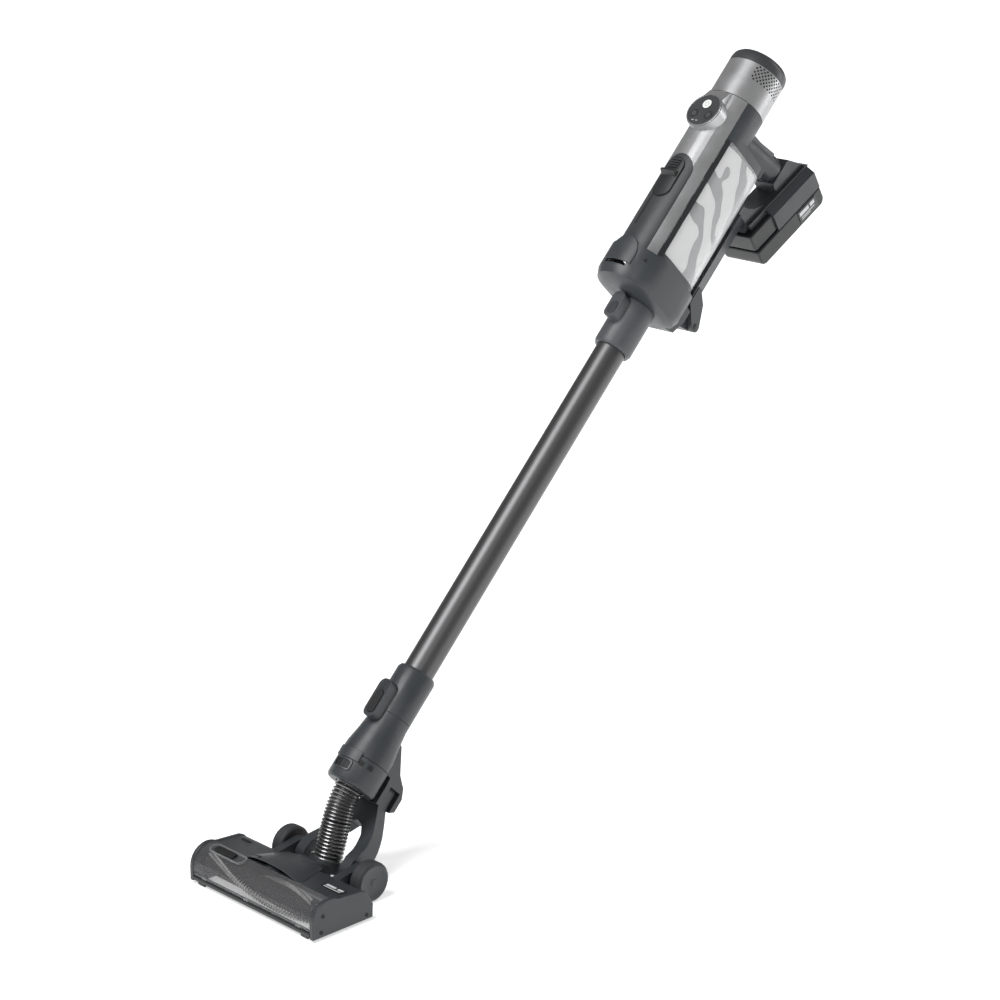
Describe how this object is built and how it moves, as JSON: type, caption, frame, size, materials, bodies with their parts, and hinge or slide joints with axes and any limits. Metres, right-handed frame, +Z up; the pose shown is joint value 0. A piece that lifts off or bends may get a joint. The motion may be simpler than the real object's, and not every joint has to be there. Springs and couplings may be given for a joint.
{
  "type": "cordless stick vacuum",
  "caption": "Cordless stick vacuum: handheld motor and dust-pod unit with hand grip and slide-out battery, straight wand, swivelling neck with hose, wheeled floor head with brush roll.",
  "frame": {"origin": "on the floor under the middle of the floor head, below the flat sole", "axes": "+Z up; -Y is the front of the floor head and the way it is pushed; +X is the right-hand side; the wand leans back toward +Y in the plane X = 0"},
  "size_m": [0.22, 0.9409, 0.894],
  "materials": {
    "silver": "satin silver-grey paint on moulded plastic",
    "slate": "fine-grained slate-grey moulding",
    "dark": "near-black moulding",
    "tube": "dark anodised, satin",
    "clear": "clear moulded plastic",
    "white": "white moulding",
    "filter_paper": "pleated filter fabric",
    "rubber": "soft matt rubber",
    "steel": "turned steel",
    "bright_ring": "bright trim ring",
    "fan": "cast fan wheel",
    "hose": "ribbed grey hose on a wire coil",
    "bristle": "grey bristles",
    "board": "circuit board",
    "cell": "wrapped battery cells"
  },
  "bodies": {
    "main_unit": {"body_shell": "silver", "panel_ring": "bright_ring", "panel_face": "dark", "circuit_board": "board", "track_insert": "slate", "chassis": "slate", "cap_hinge_pin": "steel", "pod_window": "clear", "filter": "filter_paper", "suction_motor": "steel", "motor_housing": "silver", "end_cap": "dark", "grip_right": "slate", "grip_left": "slate"},
    "front_cap": {"front_cap": "slate", "inlet_seal": "rubber"},
    "cap_latch": {"cap_latch": "slate"},
    "wand": {"lower_collar": "slate", "wand_tube": "tube", "upper_collar": "slate"},
    "upper_latch_button": {"upper_latch_button": "dark"},
    "lower_latch_button": {"lower_latch_button": "dark"},
    "neck": {"neck_shell": "slate", "neck_cuff": "slate", "swivel_pin": "steel", "hose_upper": "hose"},
    "yoke": {"yoke": "slate"},
    "floor_head": {"head_housing": "slate", "end_plate_right": "slate", "brush_bearing_right": "steel", "end_plate_left": "slate", "brush_bearing_left": "steel", "brush_window": "clear", "front_strip": "dark", "sole_plate": "dark", "brush_motor": "steel", "drive_belt": "rubber", "axle_right": "steel", "axle_left": "steel", "hose_lower": "hose"},
    "window_latch": {"window_latch": "dark"},
    "wheel_right": {"wheel_right": "rubber"},
    "wheel_left": {"wheel_left": "rubber"},
    "front_roller_right": {"front_roller_right": "rubber"},
    "front_roller_left": {"front_roller_left": "rubber"},
    "brush": {"brush_core": "dark", "bristle_strip_1": "bristle", "bristle_strip_2": "bristle", "brush_pulley": "steel"},
    "motor_pulley": {"motor_pulley": "steel"},
    "motor_fan": {"motor_fan": "fan"},
    "pod_slider": {"pod_slider": "dark"},
    "dust_pod": {"dust_pod": "white"},
    "battery": {"battery_case": "dark", "battery_cells": "cell", "battery_label": "white"},
    "battery_release": {"battery_release": "slate"},
    "power_button": {"power_button": "white"},
    "boost_button": {"boost_button": "dark"},
    "eco_button": {"eco_button": "dark"}
  },
  "joints": [
    {"name": "cap_hinge", "type": "hinge", "parent": "main_unit", "child": "front_cap", "pos_m": [0, 0.66372, 0.56332], "axis": [1, 0, 0], "range_deg": [0, 100]},
    {"name": "cap_latch_press", "type": "slide", "parent": "front_cap", "child": "cap_latch", "axis": [0, 0.7193, -0.6947], "range_m": [0, 0.002], "stiffness_N_per_m": 600, "springref_m": -0.0005},
    {"name": "wand_release", "type": "slide", "parent": "front_cap", "child": "wand", "axis": [0, -0.6947, -0.7193], "range_m": [0, 0.06]},
    {"name": "upper_latch_button_press", "type": "slide", "parent": "wand", "child": "upper_latch_button", "axis": [0, 0.7193, -0.6947], "range_m": [0, 0.002], "stiffness_N_per_m": 600, "springref_m": -0.0005},
    {"name": "lower_latch_button_press", "type": "slide", "parent": "wand", "child": "lower_latch_button", "axis": [0, 0.7193, -0.6947], "range_m": [0, 0.002], "stiffness_N_per_m": 600, "springref_m": -0.0005},
    {"name": "neck_release", "type": "slide", "parent": "wand", "child": "neck", "axis": [0, -0.6947, -0.7193], "range_m": [0, 0.05]},
    {"name": "swivel", "type": "hinge", "parent": "neck", "child": "yoke", "pos_m": [0, 0.1536, 0.08978], "axis": [0, 0.7193, -0.6947], "range_deg": [-40, 40]},
    {"name": "tilt", "type": "hinge", "parent": "yoke", "child": "floor_head", "pos_m": [0, 0.072, 0.024], "axis": [1, 0, 0], "range_deg": [-44, 36], "deforming": ["hose_lower", "hose_upper"]},
    {"name": "wheel_right_spin", "type": "hinge", "parent": "floor_head", "child": "wheel_right", "pos_m": [0.0695, 0.072, 0.024], "axis": [1, 0, 0], "continuous": true},
    {"name": "wheel_left_spin", "type": "hinge", "parent": "floor_head", "child": "wheel_left", "pos_m": [-0.0695, 0.072, 0.024], "axis": [1, 0, 0], "continuous": true},
    {"name": "front_roller_right_spin", "type": "hinge", "parent": "floor_head", "child": "front_roller_right", "pos_m": [0.092, -0.0415, 0.0033], "axis": [1, 0, 0], "continuous": true},
    {"name": "front_roller_left_spin", "type": "hinge", "parent": "floor_head", "child": "front_roller_left", "pos_m": [-0.092, -0.0415, 0.0033], "axis": [1, 0, 0], "continuous": true},
    {"name": "brush_spin", "type": "hinge", "parent": "floor_head", "child": "brush", "pos_m": [0, -0.021, 0.0205], "axis": [1, 0, 0], "continuous": true},
    {"name": "motor_pulley_spin", "type": "hinge", "parent": "floor_head", "child": "motor_pulley", "pos_m": [0.0942, 0.018, 0.021], "axis": [1, 0, 0], "continuous": true},
    {"name": "window_latch_slide", "type": "slide", "parent": "floor_head", "child": "window_latch", "axis": [1, 0, 0], "range_m": [0, 0.004]},
    {"name": "motor_fan_spin", "type": "hinge", "parent": "main_unit", "child": "motor_fan", "pos_m": [0, 0.75322, 0.82444], "axis": [0, 0.6947, 0.7193], "continuous": true},
    {"name": "pod_slide", "type": "slide", "parent": "main_unit", "child": "pod_slider", "axis": [0, -0.6947, -0.7193], "range_m": [0, 0.035]},
    {"name": "dust_pod_slide", "type": "slide", "parent": "main_unit", "child": "dust_pod", "axis": [0, -0.6947, -0.7193], "range_m": [0, 0.035]},
    {"name": "battery_slide", "type": "slide", "parent": "main_unit", "child": "battery", "axis": [0, 0.8616, 0.5075], "range_m": [0, 0.14]},
    {"name": "battery_release_press", "type": "slide", "parent": "battery", "child": "battery_release", "axis": [0, -0.8616, -0.5075], "range_m": [0, 0.0008], "stiffness_N_per_m": 800, "springref_m": -0.0005},
    {"name": "power_button_press", "type": "slide", "parent": "main_unit", "child": "power_button", "axis": [0, 0.7193, -0.6947], "range_m": [0, 0.001], "stiffness_N_per_m": 600, "springref_m": -0.0005},
    {"name": "boost_button_press", "type": "slide", "parent": "main_unit", "child": "boost_button", "axis": [0, 0.7193, -0.6947], "range_m": [0, 0.001], "stiffness_N_per_m": 600, "springref_m": -0.0005},
    {"name": "eco_button_press", "type": "slide", "parent": "main_unit", "child": "eco_button", "axis": [0, 0.7193, -0.6947], "range_m": [0, 0.001], "stiffness_N_per_m": 600, "springref_m": -0.0005}
  ],
  "couplings": [
    {"joint": "motor_pulley_spin", "follows": "brush_spin", "ratio": 1.6667},
    {"joint": "pod_slide", "follows": "dust_pod_slide", "ratio": 1}
  ]
}
